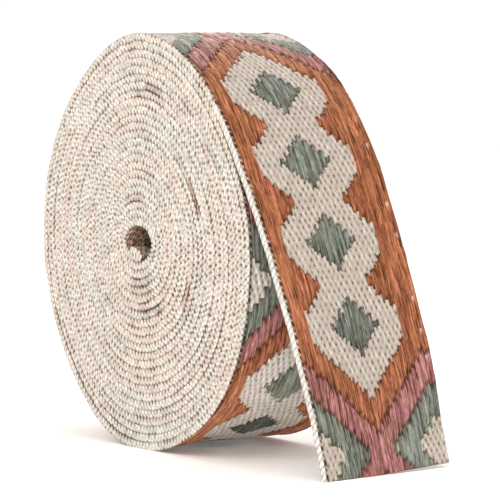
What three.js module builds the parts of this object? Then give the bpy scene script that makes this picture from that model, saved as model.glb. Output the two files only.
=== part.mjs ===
// A roll of woven jacquard webbing that stands on its rim, with its loose end hanging to the floor.
// Millimetres, +Z up. The roll's axis runs along Y, and the loose end comes off on the +X side.
// The origin is the middle of the small flat spot on which the roll rests.
import * as THREE from 'three';

// Driving sizes
const WIDTH = 38; // the webbing, edge to edge
const THICKNESS = 1.6; // one layer
const PITCH = 1.9; // one layer as wound, with its air
const AXIS_HEIGHT = 50.4; // the roll's axis above the floor
const EDGE_ROUND = 0.5; // how far each woven edge is rounded off
const LEAVE_ANGLE = 45; // where the outer turn leaves the roll, in degrees from +X
const FULL_TURN = 360;
const GAP = 0.3; // between the loose end and the roll
const END_TURN = 7.8; // degrees by which the cut end is turned, its far corner towards the roll
const END_SHIFT = 1.0; // how far the cut end has slid along +Y
const TURN_HEIGHT = 70; // height above which the loose end isn't turned
const TURN_POWER = 0.7; // how the turn grows towards the floor
const RIM_STEP = 2.5; // degrees from one point of the rim to the next
const TAIL_STEP = 2.5; // millimetres from one point of the loose end to the next
const TAIL_BANDS = 6; // strips across the loose end
const HOLE_POINTS = 44;

// The outer turn's surface, hand wound and so a little uneven: angle in degrees, radius.
// It starts where the loose end leaves, and a full turn later it lies one layer further in.
const RIM = [
  [45, 48.5],
  [60, 49.2],
  [75, 50.2],
  [92, 51.2],
  [110, 50.8],
  [128, 50.1],
  [150, 50.9],
  [175, 51.2],
  [200, 50.5],
  [222, 49.8],
  [245, 50.7],
  [265, 50.8],
  [290, 50.4],
  [320, 51.0],
  [345, 50.2],
  [365, 48.9],
  [385, 46.8],
  [396, 46.4],
  [405, 48.5 - PITCH],
];

// The loose end's fall: distance from where it leaves the roll, angle below the horizontal.
const FALL = [
  [0, 46],
  [8, 52],
  [20, 58.5],
  [40, 63.5],
  [65, 67.5],
  [100, 77.5],
];

// The hole that the first turns leave, from the roll's axis: x, z.
// The low hump in its floor is the inner end of the webbing, bent inwards.
const HOLE = [
  [3.6, -0.9],
  [2.3, 3.0],
  [-1.9, 5.0],
  [-6.1, 4.2],
  [-8.8, 0.9],
  [-7.1, -1.9],
  [-4.7, -1.9],
  [-2.4, -2.9],
  [-1.0, -4.2],
  [0.7, -4.5],
  [2.7, -3.2],
];

const LOOKS = {
  roll: { color: 0xe3d8c4, roughness: 0.9, metalness: 0 },
  loose_end: { color: 0xc77f52, roughness: 0.8, metalness: 0 },
};

const radians = THREE.MathUtils.degToRad;

// Reads a table of (place, value) rows along one smooth curve that goes through every row.
function readTable(rows, place) {
  const last = rows.length - 2;
  let i = rows.findIndex((row, k) => k <= last && place <= rows[k + 1][0]);
  i = i < 0 ? last : i;
  const slopeAt = (k) => {
    const before = rows[Math.max(k - 1, 0)];
    const after = rows[Math.min(k + 1, rows.length - 1)];
    return (after[1] - before[1]) / (after[0] - before[0]);
  };
  const span = rows[i + 1][0] - rows[i][0];
  const t = THREE.MathUtils.clamp((place - rows[i][0]) / span, 0, 1);
  const startPull = (1 - t) ** 2 * t * span * slopeAt(i);
  const endPull = (t - 1) * t * t * span * slopeAt(i + 1);
  const blend = t * t * (3 - 2 * t);
  return rows[i][1] * (1 - blend) + rows[i + 1][1] * blend + startPull + endPull;
}

// A point of the roll's side view, from the axis, lifted to the axis height.
function onRoll(angle, radius) {
  const a = radians(angle);
  return new THREE.Vector2(radius * Math.cos(a), AXIS_HEIGHT + radius * Math.sin(a));
}

// The rim from the step round to the step again, cut level where it rests on the floor.
function rimOutline() {
  const points = [];
  const steps = Math.round(FULL_TURN / RIM_STEP);
  for (let i = 0; i <= steps; i += 1) {
    const angle = LEAVE_ANGLE + (i * FULL_TURN) / steps;
    const point = onRoll(angle, readTable(RIM, angle));
    point.y = Math.max(point.y, 0);
    points.push(point);
  }
  return points;
}

function holeOutline() {
  const corners = HOLE.map(([x, z]) => new THREE.Vector3(x, AXIS_HEIGHT + z, 0));
  const curve = new THREE.CatmullRomCurve3(corners, true, 'catmullrom', 0.5);
  const ring = curve.getPoints(HOLE_POINTS).slice(0, -1);
  return ring.map((p) => new THREE.Vector2(p.x, p.y)).reverse();
}

// Extrudes a side view across the webbing's width, with rounded edges.
function acrossWidth(shape, bands) {
  const geometry = new THREE.ExtrudeGeometry(shape, {
    depth: WIDTH - 2 * EDGE_ROUND,
    steps: bands,
    bevelEnabled: true,
    bevelThickness: EDGE_ROUND,
    bevelSize: EDGE_ROUND,
    bevelOffset: -EDGE_ROUND,
    bevelSegments: 2,
  });
  geometry.translate(0, 0, EDGE_ROUND - WIDTH / 2);
  geometry.rotateX(Math.PI / 2);
  return geometry;
}

// The loose end's outer surface, from the roll down to the floor: points and their unit normals.
function tailLine() {
  const start = onRoll(LEAVE_ANGLE, readTable(RIM, LEAVE_ANGLE));
  const line = [];
  const stride = 0.1;
  let [x, z] = [start.x, start.y];
  for (let s = 0; z > 0; s += stride) {
    const slope = radians(readTable(FALL, s));
    const normal = new THREE.Vector2(Math.sin(slope), Math.cos(slope));
    line.push({ s, point: new THREE.Vector2(x, z), normal });
    x += stride * Math.cos(slope);
    z -= stride * Math.sin(slope);
  }
  const every = Math.round(TAIL_STEP / stride);
  const kept = line.filter((row, i) => i % every === 0 && row.point.y > TAIL_STEP);
  const foot = line[line.length - 1];
  foot.point.y = 0;
  return [...kept, foot];
}

// The loose end's side view: a sheet of even thickness that starts clear of the step it grew from.
function tailOutline() {
  const line = tailLine();
  const outer = line.map(({ point }) => point.clone());
  const inner = line.map(({ point, normal }) => point.clone().addScaledVector(normal, -THICKNESS));
  const foot = line[line.length - 1];
  inner[inner.length - 1].set(foot.point.x - THICKNESS / foot.normal.x, 0);
  const away = new THREE.Vector2(line[0].normal.y, -line[0].normal.x).multiplyScalar(GAP);
  outer[0].add(away);
  inner[0].add(away);
  return [...outer.reverse(), ...inner];
}

// Turns the sheet about the vertical, from nothing where it clears the roll to END_TURN at the floor.
function turnTail(geometry) {
  const place = geometry.attributes.position;
  for (let i = 0; i < place.count; i += 1) {
    const across = place.getY(i);
    const z = place.getZ(i);
    const share = Math.max(1 - z / TURN_HEIGHT, 0) ** TURN_POWER;
    const turn = radians(END_TURN) * share;
    const x = place.getX(i) - across * Math.sin(turn);
    place.setXYZ(i, x, across * Math.cos(turn) + END_SHIFT * share ** 2, z);
  }
}

function makeRoll() {
  const shape = new THREE.Shape(rimOutline());
  shape.holes.push(new THREE.Path(holeOutline()));
  return acrossWidth(shape, 1);
}

function makeTail() {
  const geometry = acrossWidth(new THREE.Shape(tailOutline()), TAIL_BANDS);
  turnTail(geometry);
  geometry.computeVertexNormals();
  return geometry;
}

function named(name, geometry) {
  const mesh = new THREE.Mesh(geometry, new THREE.MeshStandardMaterial(LOOKS[name]));
  mesh.name = name;
  return mesh;
}

const group = new THREE.Group();
group.add(named('roll', makeRoll()));
group.add(named('loose_end', makeTail()));

export default group;
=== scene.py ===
import math

import bpy
import numpy as np
from mathutils import Matrix, Vector


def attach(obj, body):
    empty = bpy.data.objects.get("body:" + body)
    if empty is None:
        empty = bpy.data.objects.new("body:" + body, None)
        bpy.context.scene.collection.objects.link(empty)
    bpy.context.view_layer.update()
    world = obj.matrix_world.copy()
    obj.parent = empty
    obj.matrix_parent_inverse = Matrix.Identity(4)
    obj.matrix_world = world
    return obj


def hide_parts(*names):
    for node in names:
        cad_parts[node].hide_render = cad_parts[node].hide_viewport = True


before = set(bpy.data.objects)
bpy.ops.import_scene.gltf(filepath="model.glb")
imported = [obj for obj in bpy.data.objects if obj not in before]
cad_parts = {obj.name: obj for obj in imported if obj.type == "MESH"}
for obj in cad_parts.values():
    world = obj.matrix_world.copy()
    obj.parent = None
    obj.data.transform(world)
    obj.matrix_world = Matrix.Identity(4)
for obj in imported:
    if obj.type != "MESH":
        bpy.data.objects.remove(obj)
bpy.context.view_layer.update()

METRES = 0.001  # in a millimetre

# Driving sizes, the same as in the CAD source
WIDTH = 38.0  # the webbing, edge to edge
THICKNESS = 1.6  # one layer
PITCH = 1.9  # one layer as wound, with its air
AXIS_HEIGHT = 50.4  # the roll's axis above the floor
LEAVE_ANGLE = 45.0  # where the outer turn leaves the roll, in degrees from +X
END_TURN = 7.8  # degrees by which the cut end is turned, its far corner towards the roll
END_SHIFT = 1.0  # how far the cut end has slid along +Y
TURN_HEIGHT = 70.0  # height above which the loose end isn't turned
TURN_POWER = 0.7  # how the turn grows towards the floor
HALF = WIDTH / 2
NEAR, FAR = 18.2, 18.9  # where the face ends and the edge cord begins, at the near and at the far edge

# The outer turn's surface: angle in degrees, radius
RIM = [
    (45, 48.5), (60, 49.2), (75, 50.2), (92, 51.2), (110, 50.8), (128, 50.1), (150, 50.9),
    (175, 51.2), (200, 50.5), (222, 49.8), (245, 50.7), (265, 50.8), (290, 50.4), (320, 51.0),
    (345, 50.2), (365, 49.1), (385, 47.2), (396, 46.5), (405, 48.5 - PITCH),
]

# The loose end's fall: distance from where it leaves the roll, angle below the horizontal
FALL = [(0, 46), (8, 52), (20, 58.5), (40, 63.5), (65, 67.5), (100, 77.5)]
FALL_REACH = 130  # more than the loose end's length

# The winding
TURNS = 23.619  # from the leaving point to where the inner end folds back on itself
SMALL_TURNS = 4  # the innermost ones, which need fewer points
OUTER_STEP, INNER_STEP = 0.25, 1.0  # degrees from one point to the next, before the small turns and in them
HOLE_CENTRE = (-3.25, 0.34)  # from the axis
HOLE_HALF = (5.45, 3.2)  # half its width and half its height
LAST_LAYER = 1.65  # the one that is the hole's wall
STRIDE = 0.1  # from one point of the finished line to the next
HEADING_BLUR = 8  # points to each side over which the line's direction is evened out

# The inner end's outer face, from the axis: it folds back and lies in the corner of the hole
TONGUE = [
    (-2.6, -4.42), (-1.75, -3.95), (-1.32, -3.2), (-1.7, -2.35), (-2.9, -1.75),
    (-4.2, -1.38), (-5.6, -1.1), (-6.6, -0.95),
]
TAKEN_OVER = 12  # points of the winding that the inner end takes the place of

# Where a turn stands off from the next one in: angle, half width in degrees, turn, how far
SLACK = [
    (120, 15, 1.0, 0.26), (104, 13, 2.0, 0.16), (172, 20, 3.0, 0.25), (142, 18, 9.0, 0.22),
    (132, 16, 14.0, 0.22), (14, 16, 2.9, 0.28), (300, 14, 6.0, 0.16), (262, 16, 12.0, 0.16),
    (330, 14, 10.0, 0.2), (20, 14, 8.0, 0.25), (215, 18, 5.0, 0.16), (75, 14, 17.0, 0.2),
    (285, 16, 17.0, 0.2), (185, 16, 19.0, 0.2),
]
SLACK_FADE = 3  # turns in which it dies away further in
SLACK_BLUR = 20  # points to each side over which it is evened out

# How far the middle of the webbing stands over its edges, along it
CROWN = [
    (0, 0), (40, 0), (100, 0.55), (126, 0.5), (150, 0.05), (230, 0.1), (300, 0.45), (400, 0.5), (470, 0),
    (5000, 0),
]

# How far a turn has slid along the roll's axis, along the webbing: no winding is quite even
SLIDE = [
    (0, 0), (130, 0), (200, -0.2), (290, -0.7), (345, -0.72), (400, -0.12), (440, -0.05), (520, -0.15),
    (600, -0.4), (670, -0.42), (740, -0.1), (850, -0.12), (930, -0.25), (1000, -0.22), (1100, -0.05),
    (1300, -0.12), (1500, 0), (1800, -0.1), (2100, 0.02), (2500, -0.08), (2900, 0.05), (3300, -0.05),
    (3700, 0.06), (4100, -0.05), (4500, 0.2),
]

# The lower right and the underside of the outer turns are drawn in behind their near edge. How far, across
# the webbing; between which angles round the axis that sets in and ends; how deep into the roll it reaches.
DRAWN_IN = [(-19, 0), (-17.7, 0.4), (-13.3, 0.8), (-9, 1.5), (0, 1.6), (19, 1.4)]
DRAWN_FROM, DRAWN_TO = (-112, -88), (-6, 8)
DRAWN_DEPTH = 11

# The far edge of the loose end is a little wider than the weave: outside which line, by what share, and
# where along it that sets in and ends
WIDE_OUTSIDE = 17.5
WIDER = 0.55
WIDE_FROM, WIDE_TO = (8, 28), (104, 118)

# How much the two edges waver, and where the next turn begins to cover them
FAR_WAVE, NEAR_WAVE = 0.42, 0.20
WAVES_TO = (410, 430)

CORNER_LIFT = 1.0  # the cut end's far corner stands off the floor
CORNER_REACH = 9  # along the loose end
FLOOR_GAP = 0.03  # no point of the webbing lies lower

# The woven chart: cells across, rows in the repeat, and how far apart they are
COLUMNS = 11  # each side of the middle one
FIGURE_WIDTH = 36.1
CELL = FIGURE_WIDTH / (2 * COLUMNS + 1)
ROW = 1.62
REPEAT = 76
STRANDS = 3  # of coloured yarn to a cell
RINGS = 4  # of mesh to a row

# The weave is beaten closer in places: distance from the cut end, row
ROWS = [
    (5.3, 0.0), (128.0, 75.74), (352.1, 219.48), (372.6, 232.44), (380.7, 237.0), (387.1, 242.0),
    (5000.0, 3090.6),
]

# The figure, in cells from the middle column and rows from the middle of the repeat
DIAMONDS = (6.5, 19.5)  # the rows of the diamonds' middles, and again on the other side
DIAMOND_HALF = 4
BORDER_HALF = 8  # of the cream border round the diamonds
BORDER_STRAIGHT = 2  # rows to each side of a diamond's middle over which the border is that wide
CHEVRONS = (15, 20, 25)  # where the rust, the rose and the sage chevron end

CREAM, RUST, ROSE, SAGE = range(4)
YARN = np.array([
    (0.66, 0.60, 0.54),
    (0.292, 0.106, 0.050),
    (0.292, 0.124, 0.113),
    (0.149, 0.160, 0.131),
])
GROUND = YARN[CREAM] * (0.742, 0.73, 0.72)  # the plain cream weave, denser and duller than the edge cord
CORD = YARN[CREAM] * (1.10, 1.16, 1.17)  # the teeth and the cord of the selvedge, the palest of all
EDGE = YARN[CREAM] * (1.033, 1.056, 1.067)  # the woven edges
OPEN = (0.60, 0.51, 0.44)  # the mixture of yarns on the webbing's reverse
HOLE_PAINTED_SHADE = (0.42, 0.25, 0.17)  # the same with painted shade, for the roll's hole
COVERED_PAINTED_SHADE = (*YARN[CREAM] * 0.3, 0.4)  # a face that lies against the next turn, dark with painted shade, with how coarse its fibres are

# Painted light on the figure's yarn: lighter by the cut end, and from the top of the roll round to its lower
# turns
FIGURE_PAINTED_LIGHT = [
    (0, 1.12), (28, 1.03), (60, 1.0), (98, 1.0), (112, 1.12), (136, 1.28), (200, 1.2), (300, 1.36),
    (420, 1.32),
]

# How much the figure's yarn turns towards cream, most of all over the top of the roll: partly wear, partly
# painted sheen
WEAR_AND_SHEEN = [(0, 0), (100, 0), (120, 0.12), (142, 0.31), (162, 0.23), (205, 0), (5000, 0)]

# Painted light on the cream ground: lighter over the top of the roll, most of all on its lower turns
GROUND_PAINTED_LIGHT = [
    (0, 1), (98, 1), (112, 1.06), (128, 1.18), (142, 1.28), (200, 1.2), (300, 1.36), (320, 1.42),
    (336, 1.55), (355, 1.6), (375, 1.5), (420, 1.35),
]

# How light the sage yarn is: painted light and shade, darkest on the diamond under the roll by the floor
SAGE_PAINTED_SHADING = [
    (0, 1.12), (26, 1.0), (36, 0.88), (56, 1.06), (77, 1.12), (98, 1.06), (112, 1.06), (130, 1.2),
    (160, 1.2), (200, 1.0), (295, 0.9), (308, 0.56), (316, 0.48), (323, 0.58), (331, 1.25), (345, 1.3),
    (360, 1.0), (5000, 1.0),
]

# The selvedge: how far from the webbing's middle its teeth and its cord begin, and where its holes and the
# far edge's stray teeth are
TEETH_FROM = 17.30
CORD_FROM = 17.58
HOLES_AT = 17.80
STRAYS_AT = 18.45
LEAN_AT = 18.0  # they lean, and here each is level with its row

# The depths of a woven edge's points below the outer face, and the middle of them
EDGE_DEPTHS = np.array([-0.24, 0.10, 0.46, 0.82, 1.15, 1.48, 1.84])
EDGE_MIDDLE = 0.8

# Where the figure's yarn peeps out between two turns: place along the webbing, half length, yarn, how much
PEEPS = [
    (2901, 6, RUST, 0.7), (2891, 7, RUST, 3.4), (3382, 5, RUST, 1.4), (3218, 5, RUST, 0.5),
    (4127, 6, ROSE, 0.9), (4085, 7, SAGE, 0.8), (4165, 6, ROSE, 1.0), (3780, 8, SAGE, 1.0),
    (3892, 4, ROSE, 1.0), (3488, 2, RUST, 0.8), (2079, 3, RUST, 1.1), (1829, 5, RUST, 1.2),
    (3558, 5, ROSE, 0.7), (1545, 5, ROSE, 0.6), (1274, 6, SAGE, 0.6),
]

# Steps across a face. Only a face with a finer step than WOVEN can be seen, and has a weave.
WOVEN = 1.0
UNSEEN = 6.1
BETWEEN = 40  # both faces of the turns that lie between others: no points between their edges
INNER_END = 90  # the length of the last piece, which shows in the hole


def read_table(rows, place):
    """Reads a table of (place, value) rows along one smooth curve through every row."""
    table = np.array(rows, float)
    x = np.asarray(place, float)
    i = np.clip(np.searchsorted(table[:, 0], x, side="left") - 1, 0, len(table) - 2)

    def slope(k):
        before = table[np.maximum(k - 1, 0)]
        after = table[np.minimum(k + 1, len(table) - 1)]
        return (after[..., 1] - before[..., 1]) / (after[..., 0] - before[..., 0])

    span = table[i + 1, 0] - table[i, 0]
    t = np.clip((x - table[i, 0]) / span, 0, 1)
    blend = t * t * (3 - 2 * t)
    pulls = (1 - t) ** 2 * t * span * slope(i) + (t - 1) * t * t * span * slope(i + 1)
    return table[i, 1] * (1 - blend) + table[i + 1, 1] * blend + pulls


def smooth(x):
    x = np.clip(x, 0, 1)
    return x * x * (3 - 2 * x)


def rise(x, span):
    """From 0 to 1 as x goes through the span."""
    return smooth((x - span[0]) / (span[1] - span[0]))


def fall(x, span):
    """From 1 to 0 as x goes through the span."""
    return smooth((span[1] - x) / (span[1] - span[0]))


def bell(x, width):
    return np.exp(-((x / width) ** 2))


def spot(x, width, y, length):
    return np.exp(-((x / width) ** 2) - (y / length) ** 2)


def chance(*keys):
    """A repeatable number from 0 to 1 for its keys. Most uses have a last key of their own."""
    mixed = np.zeros(np.broadcast(*keys).shape)
    for i, key in enumerate(keys):
        mixed = mixed + np.asarray(key, float) * (12.9898 + 65.343 * i)
    value = np.sin(mixed) * 43758.5453
    return value - np.floor(value)


def wander(x, *keys):
    """Smooth repeatable noise from 0 to 1 along x, a different one for each key."""
    whole = np.floor(x)
    t = smooth(x - whole)
    return chance(whole, *keys) * (1 - t) + chance(whole + 1, *keys) * t


# The camera stands where the photograph was taken from
def add_camera():
    target = np.array([19.59, 0.0, 48.90])
    distance = 712.58
    focal_length, image_side = 2944.51, 500  # in pixels
    azimuth, elevation, roll = (math.radians(a) for a in (58.106, 3.187, -0.776))
    back = np.array([
        math.sin(azimuth) * math.cos(elevation),
        -math.cos(azimuth) * math.cos(elevation),
        math.sin(elevation),
    ])
    right = np.cross(-back, (0, 0, 1))
    right /= np.linalg.norm(right)
    up = np.cross(right, -back)
    turned_right = math.cos(roll) * right + math.sin(roll) * up
    turned_up = -math.sin(roll) * right + math.cos(roll) * up
    data = bpy.data.cameras.new("camera")
    data.sensor_width = 36.0
    data.lens = data.sensor_width * focal_length / image_side
    data.clip_start, data.clip_end = 0.01, 20
    camera = bpy.data.objects.new("camera", data)
    bpy.context.scene.collection.objects.link(camera)
    axes = np.eye(4)
    axes[:3, 0], axes[:3, 1], axes[:3, 2] = turned_right, turned_up, back
    axes[:3, 3] = (target + back * distance) * METRES
    camera.matrix_world = Matrix(axes.tolist())
    bpy.context.scene.camera = camera


add_camera()


# The webbing's line, seen from the side: its outer face from the cut end to the inner end
def tail_line():
    a = math.radians(LEAVE_ANGLE)
    radius = float(read_table(RIM, LEAVE_ANGLE))
    slope = np.radians(read_table(FALL, np.arange(0, FALL_REACH, STRIDE)))
    x = radius * math.cos(a) + np.concatenate([[0], np.cumsum(STRIDE * np.cos(slope))])
    z = AXIS_HEIGHT + radius * math.sin(a) - np.concatenate([[0], np.cumsum(STRIDE * np.sin(slope))])
    last = int(np.argmax(z <= 0))
    return np.stack([x, z], 1)[: last + 1][::-1]


def stood_off(alpha, turn):
    """How much further in each point of the winding lies, so that here and there two turns part."""
    sink = np.zeros(len(alpha))
    for angle, spread, after, far in SLACK:
        off = (alpha - angle + 180) % 360 - 180
        depth = np.floor(turn - ((angle - LEAVE_ANGLE) % 360) / 360 + 0.5) - after
        sink += far * bell(off, spread) * np.where(depth >= 0, np.exp(-np.maximum(depth, 0) / SLACK_FADE), 0)
    count = 2 * SLACK_BLUR + 1
    return np.convolve(np.pad(sink, SLACK_BLUR, mode="edge"), np.ones(count) / count, mode="valid")


def wound_line():
    small = LEAVE_ANGLE + 360 * (TURNS - SMALL_TURNS)
    alpha = np.concatenate([
        np.arange(LEAVE_ANGLE, small, OUTER_STEP),
        np.arange(small, LEAVE_ANGLE + 360 * TURNS, INNER_STEP),
    ])
    turn = (alpha - LEAVE_ANGLE) / 360
    share = turn % 1
    rim = read_table(RIM, LEAVE_ANGLE + 360 * share)
    a = np.radians(alpha)
    way = np.stack([np.cos(a), np.sin(a)], 1)
    base = (rim + PITCH * (share - 1))[:, None] * way
    ring = np.array(HOLE_CENTRE) + way * (np.array(HOLE_HALF) + LAST_LAYER)
    inward = np.clip((turn - 1) / (TURNS - 1), 0, 1)[:, None]
    line = np.where(turn[:, None] < 1, rim[:, None] * way, (1 - inward) * base + inward * ring)
    line = line - way * stood_off(alpha, turn)[:, None]
    return line + np.array([0, AXIS_HEIGHT])


def curve_through(points, stride):
    """A smooth line through a few points (Catmull-Rom)."""
    p = np.array([2 * points[0] - points[1], *points, 2 * points[-1] - points[-2]])
    made = []
    for i in range(1, len(p) - 2):
        n = max(2, int(np.linalg.norm(p[i + 1] - p[i]) / stride))
        t = np.arange(n)[:, None] / n
        made.append(0.5 * (
            2 * p[i] + (p[i + 1] - p[i - 1]) * t
            + (2 * p[i - 1] - 5 * p[i] + 4 * p[i + 1] - p[i + 2]) * t * t
            + (3 * p[i] - p[i - 1] - 3 * p[i + 1] + p[i + 2]) * t ** 3
        ))
    return np.concatenate([*made, p[-2:-1]])


def whole_line():
    """The line at even strides with the distance along it, where it leaves the roll, and its length."""
    tail, wound = tail_line(), wound_line()
    tongue = [wound[-TAKEN_OVER], wound[-TAKEN_OVER // 3]]
    tongue += [np.array(p) + np.array([0, AXIS_HEIGHT]) for p in TONGUE]
    inner = curve_through(np.array(tongue), STRIDE)
    line = np.concatenate([tail[:-1], wound[:-TAKEN_OVER], inner])
    along = np.concatenate([[0], np.cumsum(np.linalg.norm(np.diff(line, axis=0), axis=1))])
    leaves = along[len(tail) - 1]
    s = np.arange(0, along[-1], STRIDE)
    line = np.stack([np.interp(s, along, line[:, k]) for k in (0, 1)], 1)
    return s, line, float(leaves), float(along[-1])


LINE_S, LINE, LEAVES, LENGTH = whole_line()


def smoothed(values, reach):
    kernel = np.hanning(2 * reach + 1)
    kernel /= kernel.sum()
    padded = np.pad(values, reach, mode="reflect", reflect_type="odd")
    return np.convolve(padded, kernel, mode="valid")


HEADING = np.stack([np.gradient(smoothed(LINE[:, k], HEADING_BLUR)) for k in (0, 1)], 1)
HEADING /= np.linalg.norm(HEADING, axis=1)[:, None]
OUTWARD = np.stack([HEADING[:, 1], -HEADING[:, 0]], 1)


def drawn_in(x, z, u):
    """How far the lower right of the roll is drawn in behind its near edge."""
    angle = np.degrees(np.arctan2(z - AXIS_HEIGHT, x))
    there = rise(angle, DRAWN_FROM) * fall(angle, DRAWN_TO)
    inside = np.clip(AXIS_HEIGHT - np.hypot(x, z - AXIS_HEIGHT), 0, None)
    return read_table(DRAWN_IN, u) * there * np.exp(-inside / DRAWN_DEPTH)


def uneven(s, u):
    """Where a point of the even weave really lies across the webbing."""
    wider = WIDER * rise(s, WIDE_FROM) * fall(s, WIDE_TO) * (u - WIDE_OUTSIDE)
    u = np.where(u > WIDE_OUTSIDE, u + wider, u)
    far_wave = FAR_WAVE * (0.6 * wander(s / 6.5, 91) + 0.4 * wander(s / 2.6, 93) - 0.5) * rise(u, (12, 18))
    near_wave = NEAR_WAVE * (wander(s / 4.5, 95) - 0.5) * fall(u, (-18, -12))
    return u + (far_wave + near_wave) * fall(s, WAVES_TO)


def place(s, u, depth):
    """A point of the webbing: s along it, u across it, depth below its outer face."""
    s, u, depth = np.broadcast_arrays(np.asarray(s, float), np.asarray(u, float), np.asarray(depth, float))
    x, z, nx, nz = (np.interp(s, LINE_S, v) for v in (LINE[:, 0], LINE[:, 1], OUTWARD[:, 0], OUTWARD[:, 1]))
    over = s - LINE_S[-1]
    x = x + np.maximum(over, 0) * HEADING[-1, 0]
    z = z + np.maximum(over, 0) * HEADING[-1, 1]
    crown = read_table(CROWN, s) * (1 - (u / HALF) ** 2)
    u = uneven(s, u)
    loose = s < LEAVES
    lift = crown - depth - np.where(loose, 0, drawn_in(x, z, u))
    x, z = x + nx * lift, z + nz * lift
    y = u + read_table(SLIDE, s)
    share = np.where(loose, np.clip(1 - z / TURN_HEIGHT, 0, None) ** TURN_POWER, 0)
    turn = math.radians(END_TURN) * share
    x = x - y * np.sin(turn)
    y = y * np.cos(turn) + END_SHIFT * share ** 2
    z = z + np.where(loose, CORNER_LIFT * rise(u, (-8, 14)) * smooth(1 - s / CORNER_REACH), 0)
    return np.stack([x, y, np.maximum(z, FLOOR_GAP)], -1)


# The figure: a chain of four diamonds, then a crossing of chevrons, as on a kilim
def rows_at(s):
    """The row's number at a place along the webbing, counted from the crossing by the cut end."""
    places, rows = zip(*ROWS)
    return np.interp(s, places, rows) + np.minimum(np.asarray(s, float) - places[0], 0) / ROW


def figure(column, row):
    """The yarn of a cell that is k columns from the middle one and q rows from the middle of its repeat."""
    k = np.abs(column)
    q = np.abs((row + 0.5) % REPEAT - REPEAT / 2)
    first, last = DIAMONDS
    centre = np.minimum(np.abs(q - first), np.abs(q - last))
    diamond = k + centre <= DIAMOND_HALF
    chain = np.where(q < last, centre, q - last)
    border = k + np.maximum(chain - BORDER_STRAIGHT, 0) <= BORDER_HALF
    chevrons = np.select([k + (q - last) <= end for end in CHEVRONS], (RUST, ROSE, SAGE), CREAM)
    return np.where(diamond, SAGE, np.where(border, CREAM, np.where(q <= last, RUST, chevrons)))


def float_ends():
    """The chart, and for each of its cells how many rows of its yarn lie under it and over it."""
    columns, rows = np.arange(-COLUMNS, COLUMNS + 1), np.arange(REPEAT)
    chart = figure(columns[:, None], rows[None, :])
    under, over = np.zeros(chart.shape), np.zeros(chart.shape)
    for far in range(1, REPEAT):
        same = np.roll(chart, far, axis=1) == chart
        under += same * (under == far - 1)
        same = np.roll(chart, -far, axis=1) == chart
        over += same * (over == far - 1)
    return chart, under, over


CHART, UNDER, OVER = float_ends()


def yarn_at(strand, row):
    """The yarn that a strand shows, and how far away the nearer end of its float is, in rows."""
    column = np.clip((strand // STRANDS).astype(int), -COLUMNS, COLUMNS) + COLUMNS
    here = row + 0.8 * (chance(strand, 3) - 0.5)
    cell = np.floor(here).astype(int)
    in_repeat = cell % REPEAT
    below = here - cell + UNDER[column, in_repeat]
    above = cell + 1 - here + OVER[column, in_repeat]
    return CHART[column, in_repeat], np.minimum(below, above)


def coloured_floats(u, row):
    """Long floats, bunched and uneven: which strand, its height, and its light with painted shade in the
    grooves.
    """
    drift = 0.26 * (wander(row / 6, 41) - 0.5) + 0.44 * (wander(row / 3.4 + u / 3, 43) - 0.5)
    count = STRANDS * ((u + drift) / CELL + 0.5)
    strand = np.floor(count)
    across = count - strand - 0.5
    groove = np.round(count)
    to_groove = 0.5 - np.abs(across)

    # The groove between two strands is deep in one place and shallow in another, or opens as a slit; both
    # are darkened with painted shade
    deep = 0.15 + 0.85 * smooth(1.9 * wander(row / 4, groove, 47) - 0.45)
    valley = bell(to_groove, 0.22) * deep
    slit = bell(to_groove, 0.26) * smooth(6 * wander(row / 2.2, groove, 53) - 3.7)
    height = -0.06 - 0.22 * valley - 0.20 * slit + 0.24 * (wander(row / 5, strand, 61) - 0.5)
    light = 1.16 * (1 - 0.54 * valley) * (1 - 0.80 * slit)
    light = light * (0.68 + 0.66 * wander(row / 5, strand, 67))
    light = light * (0.80 + 0.42 * wander(row / 1.3, strand, 71))
    return strand, height, light


def cream_ground(u, row):
    """Short leaning grains and a narrow pit in every cell: their height, and their light with painted shade
    in the pits and painted highlights on the grains and beside the pits.
    """
    slant = 0.36
    grain, pit, tone, halo = (np.zeros(u.shape) for _ in range(4))
    near_row = np.round(row)
    for dj in (-1, 0, 1):
        j = near_row + dj
        middle = np.round(u / CELL + j / 3)
        for dm in (-1, 0, 1):
            m = middle + dm
            # gu and gs lead from the middle of the pit, and below from the middle of the grain
            gu = u - (m - j / 3) * CELL - 0.36 * (chance(m, j, 19) - 0.5)
            gs = (row - j) * ROW - 0.40 * (chance(m, j, 23) - 0.5)
            side_way = gu + 0.10 * gs
            deep = 0.45 + 0.70 * chance(m, j, 37)
            pit = np.maximum(pit, spot(side_way, 0.27, gs, 0.37) * deep)
            halo = np.maximum(halo, spot(side_way - 0.42, 0.17, gs + 0.1, 0.6) * chance(m, j, 39))
            gu, gs = gu - 0.80, gs + 0.10
            lean = slant + 0.30 * (chance(m, j, 29) - 0.5)
            long_way = gs * math.cos(slant) - gu * math.sin(slant)
            side_way = gu * np.cos(lean) + gs * np.sin(lean)
            dome = np.sqrt(np.clip(1 - (long_way / 1.0) ** 2 - (side_way / 0.48) ** 2, 0, 1))
            better = dome > grain
            grain = np.where(better, dome, grain)
            tone = np.where(better, chance(m, j, 31) - 0.5, tone)
    height = -0.26 + 0.12 * grain - 0.34 * pit
    # Painted shade in the pits, painted highlights on the grains and beside the pits
    light = (0.79 + 0.12 * grain + 0.18 * tone + 0.28 * halo) * (1 - 0.86 * np.minimum(pit, 1))
    return height, light


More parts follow.
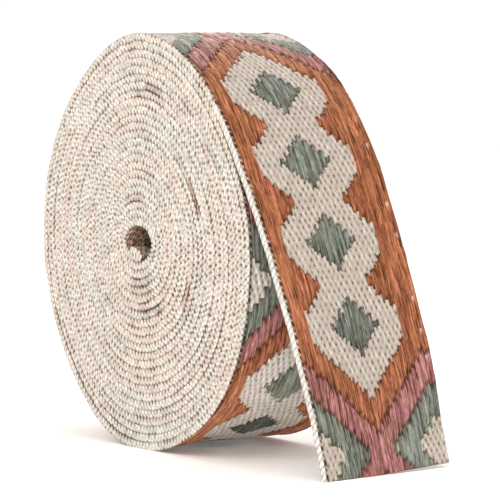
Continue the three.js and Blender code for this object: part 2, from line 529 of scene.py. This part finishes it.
def selvedge(u, row):
    """Small cream teeth over the figure, the cord beside them, and a hole by every second tooth, dark with
    painted shade.

    They show along the near edge only; along the far one the figure runs to the edge, with a tooth here and
    there. Returns how much of it is cream, the cream's light with painted shade where the cord twists, and
    how much is a hole.
    """
    out = np.abs(u)
    near = u < 0
    number = np.floor(row + 0.5)
    strength = 0.75 + 0.25 * chance(number, 75)
    tooth_s = ((row + 0.5) % 1 - 0.5) * ROW + 0.45 * (LEAN_AT - out)
    tooth = strength * smooth((out - TEETH_FROM - 0.30 * chance(number, 73)) / 0.25) * bell(tooth_s, 0.42)
    stray = 0.55 * (chance(number, 77) > 0.86) * spot(out - STRAYS_AT, 0.24, tooth_s, 0.75)
    cord = smooth((out - CORD_FROM) / 0.15) * near
    cream = np.maximum(np.where(near, smooth(2.6 * tooth - 0.8), stray), cord)
    notch_s = (row - np.round(row)) * ROW + 0.4 * (out - LEAN_AT)
    twist = 1.12 + 0.16 * (chance(np.round(row + 0.5), 79) - 0.5) - 0.42 * bell(notch_s, 0.26)

    odd = np.floor(row) % 2
    big = np.where(near, 0.75 + 0.25 * odd, 0) * (0.70 + 0.45 * chance(np.floor(row), 81))
    hole_s = (row % 1 - 0.5) * ROW + 0.35 * (HOLES_AT - out)
    hole = big * spot(out - HOLES_AT, 0.28 + 0.22 * big, hole_s, 0.34 + 0.36 * big)
    return cream, twist, hole


def face(u, s):
    """The woven face at (u, s): its height over the outer face, its colour and how coarse its fibres are."""
    row = rows_at(s)
    strand, float_height, float_light = coloured_floats(u, row)
    ground_height, ground_light = cream_ground(u, row)
    yarn, from_end = yarn_at(strand, row)

    # A float dips under at its ends, where the cells of one row part from each other, and painted shade
    # darkens it there
    ends = smooth(from_end / 0.8)
    cell_across = u / CELL + 0.5
    beside = 0.5 - np.abs(cell_across - np.floor(cell_across) - 0.5)
    parting = bell(beside, 0.11) * smooth(1.25 - from_end / 2.4)
    float_height = float_height * ends - 0.52 * (1 - ends) - 0.22 * parting
    float_light = float_light * (0.34 + 0.66 * smooth(from_end / 0.6)) * (1 - 0.55 * parting)

    coloured = yarn != CREAM
    height = np.where(coloured, float_height, ground_height)
    # Painted light along the webbing, on the figure's yarn and on the cream ground
    light = np.where(coloured, float_light * read_table(FIGURE_PAINTED_LIGHT, s), ground_light * read_table(GROUND_PAINTED_LIGHT, s))
    coarse = np.where(coloured, 1.0, 0.45)
    tone = 0.5 * wander(row / 4, strand, 83) + 0.5 * wander(u / 2 + 40, np.floor(row / 3), 85) - 0.5
    # Wear and painted sheen turn the figure's yarn towards cream
    wear_and_sheen = read_table(WEAR_AND_SHEEN, s)[..., None]
    # Painted light and shade on the sage yarn
    sage_shading = np.where(yarn == SAGE, read_table(SAGE_PAINTED_SHADING, s), 1)[..., None]
    hue = YARN[yarn] * sage_shading * (1 + tone[..., None] * (-0.08, 0.05, -0.26))
    hue = np.where(coloured[..., None], hue * (1 - wear_and_sheen) + YARN[CREAM] * wear_and_sheen, GROUND)

    cream, twist, hole = selvedge(u, row)
    height = height * (1 - cream) - 0.10 * cream - 0.08 * hole
    light = light * (1 - cream) + twist * cream
    # Painted shade in the selvedge's holes
    light = light * (1 - 0.94 * np.minimum(1.7 * hole, 1))
    coarse = coarse * (1 - cream) + 0.3 * cream
    hue = hue * (1 - cream[..., None]) + CORD * cream[..., None]

    # Shade is warmer than light, and least so on the sage yarn
    warmth = np.maximum(coarse, 0.7) * np.where(coloured & (yarn == SAGE), 0.35, 1)
    hue = hue * light[..., None] ** (1 + (0.02, 0.22, 0.42) * warmth[..., None])
    return height, np.concatenate([hue, coarse[..., None]], -1)


def reverse(u, s, hidden):
    """The woven reverse: short floats of every colour, felted into one mixture, and finer in the hole, where
    painted shade darkens it.
    """
    mixture = HOLE_PAINTED_SHADE if hidden else OPEN
    wide = (0.5 if hidden else 0.8) * CELL
    floats_a_row = 0.7 if hidden else 1.1
    row = rows_at(s)
    count = u / wide + row / 3 + 0.5 * wander(row / 2, 17)
    strand = np.floor(count)
    across = count - strand - 0.5
    count = row * floats_a_row + 3 * chance(strand, 5)
    part = np.floor(count)
    along = count - part - 0.5
    pick = chance(strand, part, 9)
    hue = np.where((pick < 0.55)[..., None], YARN[CREAM] * 0.9, YARN[RUST])
    hue = np.where((pick > 0.85)[..., None], YARN[SAGE], hue)
    hue = 0.4 * hue * mixture[0] / 0.5 + 0.6 * np.array(mixture)
    dome = np.sqrt(np.clip(1 - (1.8 * across) ** 2 - (1.7 * along) ** 2, 0, 1))
    # Painted shade between the floats; in the hole their light also varies at random
    light = (0.12 + 1.05 * dome * dome) * (0.55 + 0.9 * chance(strand, part, 21) if hidden else 1)
    hue = hue * light[..., None]
    return -0.25 + 0.25 * dome, np.concatenate([hue, np.full((*u.shape, 1), 0.7)], -1)


def edge_relief(row, depth, side, held):
    """The two rows of lumps of a woven edge, with pits where two turns meet, dark with painted shade.

    Returns how far it stands out, its light, and which row's pit is nearest.
    """
    inner = depth > EDGE_MIDDLE
    from_middle = np.abs(depth - EDGE_MIDDLE)
    on_roll = 0.5 * inner + 0.08 * (depth - EDGE_MIDDLE)
    phase = row + np.where(held > 0, 0.3 * (depth - 0.2), on_roll)
    nearest = np.round(phase)
    off = (phase - nearest) * ROW
    notch = bell(off, 0.28)
    key = 2 * np.floor(phase) + inner
    dome = np.clip(1 - from_middle ** 4, 0, 1)
    out = 0.20 + (0.13 + 0.06 * held) * dome * (1 - 0.6 * notch) + 0.08 * (chance(key, side, 1) - 0.5) * dome
    # Painted shade in the notches between lumps and off their tops
    light = (1.06 + 0.22 * (chance(key, side, 2) - 0.5)) * (1 - 0.42 * notch)
    light = light * (1 - 0.08 * (from_middle < 0.2)) * (0.86 + 0.14 * dome)
    grain = chance(np.round(RINGS * row), np.round(20 * depth), side)
    light = light * (1 + 0.38 * (grain - 0.5)) * (1 + 0.10 * held)

    # One pit a row at the inner face, some of them hardly there, and fewer at the outer face
    strength = smooth(1.7 * chance(nearest, side, 3) - 0.12) * (0.65 + 0.45 * wander(row / 9, side, 4))
    inside = strength * np.interp(depth, (0.85, 1.15, 1.45), (0, 0.75, 1))
    strength = smooth(2.4 * chance(nearest, side, 7) - 1.1)
    outside = strength * np.interp(depth, (0.12, 0.46, 0.6), (1, 0.3, 0))
    pit = bell(off, 0.38) * np.maximum(inside, outside) * (1 - 0.7 * held)
    out = out - 0.15 * pit
    # The pits are darkened with painted shade
    light = light * (1 - 0.93 * np.minimum(pit, 1))

    # Here and there two turns part for a few rows, as a dark line of painted shade
    parted = smooth(4 * wander(row / 5, side, 15) - 2.8) * (1 - held)
    parted = parted * np.interp(depth, (1.0, 1.45), (0, 1)) * (0.35 + 0.65 * notch)
    return out, light * (1 - 0.7 * parted), nearest


def add_peeps(hue, s, border, nearest):
    """The figure's yarn, where it peeps out between two turns."""
    for middle, reach, yarn, much in PEEPS:
        peep = much * (0.10 + 0.90 * border) * smooth(2 - 2 * np.abs(s - middle) / reach)
        peep = np.minimum(peep * (0.45 + 0.9 * chance(nearest, 16)), 1)[..., None]
        hue = hue * (1 - peep) + YARN[yarn] * 0.8 * peep
    return hue


def woven_edge(s, depth, side, figured):
    """A woven edge, the near one where side is -1: how far it stands out, and its colour."""
    row = rows_at(s)
    held = np.where(s < LEAVES, 1.0, 0.0)  # on the loose end, where no turn presses on another
    out, light, nearest = edge_relief(row, depth, side, held)

    # The edge yarn is cream; the figure's yarn shows through here and there, most of all between two turns
    edge_yarn = CHART[COLUMNS + side * COLUMNS, np.floor(row).astype(int) % REPEAT]
    border = np.where(depth > 1.3, 1.0, np.where(depth < 0.2, 0.6, 0.15))  # how near the next turn it is
    mix = 0.14 * wander(row / 5, side, 6) * (edge_yarn != CREAM)
    mix = mix + 0.5 * border * (chance(nearest // 3, side, 12) > 0.985)
    tint = 0.10 * (wander(row / 11, side, 8) - 0.5)[..., None]
    hue = EDGE * (1 + tint * (1.0, -0.3, -0.6)) * (1 + held[..., None] * (-0.02, 0.01, 0.01))
    hue = hue * (1 - mix[..., None]) + YARN[edge_yarn] * mix[..., None]
    if side < 0:
        hue = add_peeps(hue, s, border, nearest)
    if figured:
        shown = smooth((0.75 - depth) / 0.4)[..., None]
        hue = hue * (1 - shown) + YARN[edge_yarn] * shown
    # The edge's painted light and shade go into its colour
    hue = hue * light[..., None] ** np.array([1.0, 1.10, 1.22])
    return out, np.concatenate([hue, np.full((*s.shape, 1), 0.6)], -1)


# Meshes from arrays
def add_mesh(name, points, faces, colours, woven):
    """Makes a piece of the webbing.

    points are in mm, faces is a list of index arrays with a polygon in each row, colours are RGB and fibre
    coarseness, and woven is (u, s) in mm for the texture, which is in centimetres.
    """
    mesh = bpy.data.meshes.new(name)
    mesh.vertices.add(len(points))
    mesh.vertices.foreach_set("co", (np.asarray(points) * METRES).astype(np.float32).ravel())
    corners = np.concatenate([f.ravel() for f in faces])
    sizes = np.concatenate([np.full(len(f), f.shape[1]) for f in faces])
    mesh.loops.add(len(corners))
    mesh.loops.foreach_set("vertex_index", corners.astype(np.int32))
    mesh.polygons.add(len(sizes))
    starts = np.concatenate([[0], np.cumsum(sizes)[:-1]])
    mesh.polygons.foreach_set("loop_start", starts.astype(np.int32))
    mesh.polygons.foreach_set("use_smooth", np.ones(len(sizes), bool))
    mesh.update(calc_edges=True)
    mesh.validate()
    colour = mesh.color_attributes.new("yarn", "FLOAT_COLOR", "POINT")
    colour.data.foreach_set("color", colours.astype(np.float32).ravel())
    uv = mesh.uv_layers.new(name="weave")
    uv.data.foreach_set("uv", (woven[corners] * 0.1).astype(np.float32).ravel())
    thing = bpy.data.objects.new(name, mesh)
    bpy.context.scene.collection.objects.link(thing)
    return thing


def tube_faces(rings, around):
    i = np.arange(rings - 1)[:, None] * around
    j = np.arange(around)[None, :]
    k = (j + 1) % around
    return np.stack([i + j, i + k, i + k + around, i + j + around], -1).reshape(-1, 4)


def points_across(far, step, figured):
    """From the near edge of a face to the far one; crowded at the near edge where it shows in the hole."""
    across = NEAR + far
    count = max(1, int(round(across / step))) + 1
    return -NEAR + across * np.linspace(0, 1, count) ** (1 if figured else 1.5)


def strip(name, s0, s1, front_step, back_step, figured):
    """A length of the webbing as one closed mesh."""
    fine = np.arange(s0 - 4, s1 + 4, STRIDE)
    first, last = (round(RINGS * float(rows_at(end))) for end in (s0, s1))
    rings = np.arange(first, last + 1)
    rings_s = np.interp(rings / RINGS, rows_at(fine), fine)
    far = FAR if figured else NEAR
    front_u = points_across(far, front_step, figured)
    back_u = points_across(far, back_step, figured)[::-1]
    n_front, n_back, n_edge = len(front_u), len(back_u), len(EDGE_DEPTHS)
    u = np.concatenate([front_u, np.full(n_edge, far), back_u, np.full(n_edge, -NEAR)])
    base = np.concatenate([np.zeros(n_front), EDGE_DEPTHS, np.full(n_back, THICKNESS), EDGE_DEPTHS[::-1]])
    front = slice(0, n_front)
    far_edge = slice(n_front, n_front + n_edge)
    back = slice(n_front + n_edge, n_front + n_edge + n_back)
    near_edge = slice(n_front + n_edge + n_back, len(u))

    s_grid, u_grid = np.meshgrid(rings_s, u, indexing="ij")
    depth = np.broadcast_to(base, u_grid.shape).copy()
    hue = np.broadcast_to(COVERED_PAINTED_SHADE, (*u_grid.shape, 4)).copy()
    woven_u, woven_s = u_grid.copy(), s_grid.copy()
    if front_step < WOVEN:
        where = u_grid[:, front], s_grid[:, front]
        height, hue[:, front] = face(*where) if figured else reverse(*where, True)
        depth[:, front] -= height
    if back_step < WOVEN:
        height, hue[:, back] = reverse(u_grid[:, back], s_grid[:, back], not figured)
        depth[:, back] += height + 0.1  # the back's floats stand out by that much
    if front_step < WOVEN and not figured:
        # The hole's wall gets less light further in
        hue[..., :3] *= np.interp(u_grid, (-18, -12), (1.40, 0.62))[..., None]

    for side, edge in ((1, far_edge), (-1, near_edge)):
        jitter = 0.16 * (chance(rings[:, None], depth[:, edge] * 50, side, 14) - 0.5)
        out, hue[:, edge] = woven_edge(s_grid[:, edge], depth[:, edge], side, figured and side > 0)
        u_grid[:, edge] += side * out
        woven_u[:, edge] += side * depth[:, edge]
        woven_s[:, edge] *= 3  # the edge yarn's fibres are shorter
        s_grid[1:-1, edge] += jitter[1:-1]
    points = place(s_grid, u_grid, depth).reshape(-1, 3)
    cap = np.arange(len(u))[None]
    faces = [tube_faces(len(rings), len(u)), cap[:, ::-1], cap + (len(rings) - 1) * len(u)]
    woven = np.stack([woven_u, woven_s], -1).reshape(-1, 2)
    return add_mesh(name, points, faces, hue.reshape(-1, 4), woven)


# Materials
def set_inputs(node, values):
    for name, value in values.items():
        node.inputs[name].default_value = value


def streaks(nodes, links, uv, scale, low, high):
    """Noise drawn out along the webbing, from low to high: returns its value and the light it gives."""
    stretch = nodes.new("ShaderNodeMapping")
    set_inputs(stretch, {"Scale": (*scale, 1.0)})
    noise = nodes.new("ShaderNodeTexNoise")
    set_inputs(noise, {"Scale": 1.0, "Detail": 3.0, "Roughness": 0.6})
    light = nodes.new("ShaderNodeMapRange")
    set_inputs(light, {"From Min": 0.3, "From Max": 0.7, "To Min": low, "To Max": high})
    links.new(uv, stretch.inputs["Vector"])
    links.new(stretch.outputs["Vector"], noise.inputs["Vector"])
    links.new(noise.outputs["Fac"], light.inputs["Value"])
    return noise.outputs["Fac"], light.outputs["Result"]


def multiply_add(nodes, links, first, second, added):
    node = nodes.new("ShaderNodeMath")
    node.operation = "MULTIPLY_ADD"
    node.inputs[2].default_value = added
    links.new(first, node.inputs[0])
    links.new(second, node.inputs[1])
    return node.outputs["Value"]


def yarn_material():
    """Each point's own colour, streaked by fibres and by yarns as strongly as its coarseness says."""
    material = bpy.data.materials.new("woven_yarn")
    material.use_nodes = True
    nodes, links = material.node_tree.nodes, material.node_tree.links
    shader = nodes["Principled BSDF"]
    set_inputs(shader, {"Roughness": 0.75, "Specular IOR Level": 0.15})
    set_inputs(shader, {"Sheen Weight": 0.10, "Sheen Roughness": 0.3})
    colour = nodes.new("ShaderNodeVertexColor")
    colour.layer_name = "yarn"
    uv = nodes.new("ShaderNodeUVMap")
    uv.uv_map = "weave"
    fibre, fibre_light = streaks(nodes, links, uv.outputs["UV"], (50.0, 7.0), 0.52, 1.38)
    _, yarn_light = streaks(nodes, links, uv.outputs["UV"], (19.0, 2.4), 0.76, 1.21)
    both = multiply_add(nodes, links, fibre_light, yarn_light, -1.0)
    felt = multiply_add(nodes, links, both, colour.outputs["Alpha"], 1.0)
    scale = nodes.new("ShaderNodeVectorMath")
    scale.operation = "SCALE"
    bump = nodes.new("ShaderNodeBump")
    set_inputs(bump, {"Strength": 0.4, "Distance": 0.00012})
    links.new(colour.outputs["Color"], scale.inputs[0])
    links.new(felt, scale.inputs["Scale"])
    links.new(scale.outputs["Vector"], shader.inputs["Base Color"])
    links.new(fibre, bump.inputs["Height"])
    links.new(bump.outputs["Normal"], shader.inputs["Normal"])
    return material


YARN_MATERIAL = yarn_material()

# Name, where it ends along the webbing, steps across its front and its back, whether its front has the
# figure, how it lies and on what. Of the fronts without the figure only the hole's wall shows.
PIECES = [
    ("loose_end_cloth", LEAVES, CELL / 12, CELL / 4, True, "hung", ["outer_turn_top"]),
    ("outer_turn_top", 150.0, CELL / 12, UNSEEN, True, "laid", ["wound_a"]),
    ("outer_turn_back", 288.0, CELL / 6, UNSEEN, True, "laid", ["wound_a"]),
    ("outer_turn_low", 410.0, CELL / 12, UNSEEN, True, "laid", ["wound_a"]),
    ("wound_a", 1500.0, BETWEEN, BETWEEN, False, "laid", []),
    ("wound_b", 2900.0, BETWEEN, BETWEEN, False, "laid", []),
    ("wound_c", LENGTH - INNER_END, BETWEEN, BETWEEN, False, "laid", []),
    ("inner_end", LENGTH, CELL / 3, CELL / 3, False, "laid", ["wound_c"]),
]
start = 0.0
for name, end, step, back_step, figured, held, rests_on in PIECES:
    thing = strip(name, start, end, step, back_step, figured)
    thing.data.materials.append(YARN_MATERIAL)
    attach(thing, "root")
    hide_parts("loose_end" if held == "hung" else "roll")
    start = end


# The stage: a plain pale floor and soft light
def add_stage():
    bpy.ops.mesh.primitive_plane_add(size=6.0, location=(0, 0, 0))
    floor = bpy.context.object
    floor.name = "floor"
    material = bpy.data.materials.new("pale_floor")
    material.use_nodes = True
    shader = material.node_tree.nodes["Principled BSDF"]
    set_inputs(shader, {"Base Color": (0.97, 0.945, 0.92, 1), "Roughness": 0.8})
    set_inputs(shader, {"Emission Color": (1, 1, 1, 1), "Emission Strength": 0.07})
    floor.data.materials.append(material)


def add_world():
    world = bpy.data.worlds.new("studio")
    bpy.context.scene.world = world
    world.use_nodes = True
    set_inputs(world.node_tree.nodes["Background"], {"Color": (1.0, 0.985, 0.97, 1), "Strength": 1.05})


def add_light(name, place_at, aim, size, power, tint):
    data = bpy.data.lights.new(name, "AREA")
    data.shape = "DISK"
    data.size = size
    data.energy = power
    data.color = tint
    light = bpy.data.objects.new(name, data)
    bpy.context.scene.collection.objects.link(light)
    light.location = place_at
    light.rotation_mode = "QUATERNION"
    light.rotation_quaternion = (Vector(aim) - Vector(place_at)).to_track_quat("-Z", "Y")


add_stage()
add_world()
add_light("key", (0.0, -1.5, 1.35), (0.02, 0, 0.05), 1.05, 8.6, (1.0, 0.96, 0.91))
add_light("front", (0.8, -0.42, 0.06), (0.02, 0, 0.04), 0.3, 3.6, (1.0, 0.96, 0.91))
add_light("top", (0.15, 0.1, 1.0), (0, 0, 0.05), 0.7, 2.6, (1.0, 0.98, 0.96))
bpy.context.scene.view_settings.view_transform = "Standard"
